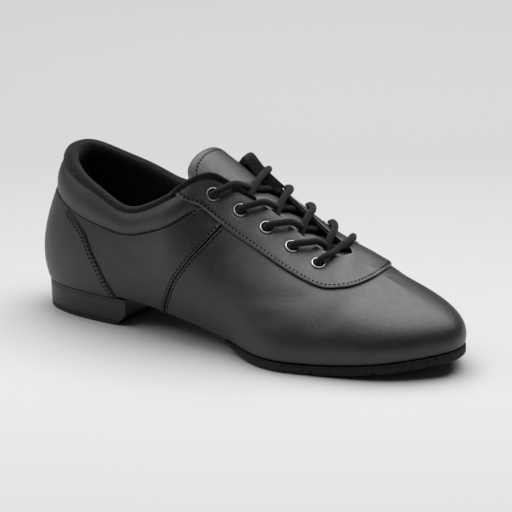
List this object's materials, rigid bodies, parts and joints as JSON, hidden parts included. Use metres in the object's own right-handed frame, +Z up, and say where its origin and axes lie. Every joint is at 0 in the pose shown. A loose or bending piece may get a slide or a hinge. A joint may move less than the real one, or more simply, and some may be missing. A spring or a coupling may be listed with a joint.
{
  "type": "jazz shoe",
  "caption": "Low black leather lace-up jazz shoe, right foot, with a padded collar, eyelets, a low block heel and a split forefoot sole.",
  "frame": {"origin": "centre of the heel tip's flat rest face, on the floor", "axes": "+X along the foot to the toe, +Y to the inner (medial) side of this right shoe, +Z up"},
  "size_m": [0.2789, 0.1007, 0.1041],
  "materials": {
    "upper_leather": "smooth black leather with a soft satin finish",
    "stay_leather": "smooth black leather, a shade lighter, with a satin finish",
    "tongue_leather": "smooth black leather with a soft satin finish",
    "collar_felt": "matt black brushed cloth",
    "insole_cloth": "matt black cloth",
    "sole_rubber": "rough matt black rubber",
    "heel_block": "smooth satin black",
    "heel_tip_rubber": "matt black rubber",
    "eyelet_metal": "gunmetal, satin",
    "lace_cord": "round braided black cord, matt"
  },
  "bodies": {
    "root": {"upper": "upper_leather", "eyestay": "stay_leather", "counter": "upper_leather", "collar_lining": "collar_felt", "tongue": "tongue_leather", "insole": "insole_cloth", "heel": "heel_block", "heel_tip": "heel_tip_rubber", "outsole": "sole_rubber", "eyelet_lateral_1": "eyelet_metal", "eyelet_lateral_2": "eyelet_metal", "eyelet_lateral_3": "eyelet_metal", "eyelet_lateral_4": "eyelet_metal", "eyelet_lateral_5": "eyelet_metal", "eyelet_medial_1": "eyelet_metal", "eyelet_medial_2": "eyelet_metal", "eyelet_medial_3": "eyelet_metal", "eyelet_medial_4": "eyelet_metal", "eyelet_medial_5": "eyelet_metal", "lace_cross_1": "lace_cord", "lace_cross_2": "lace_cord", "lace_cross_3": "lace_cord", "lace_cross_4": "lace_cord", "lace_bar": "lace_cord"}
  },
  "joints": []
}
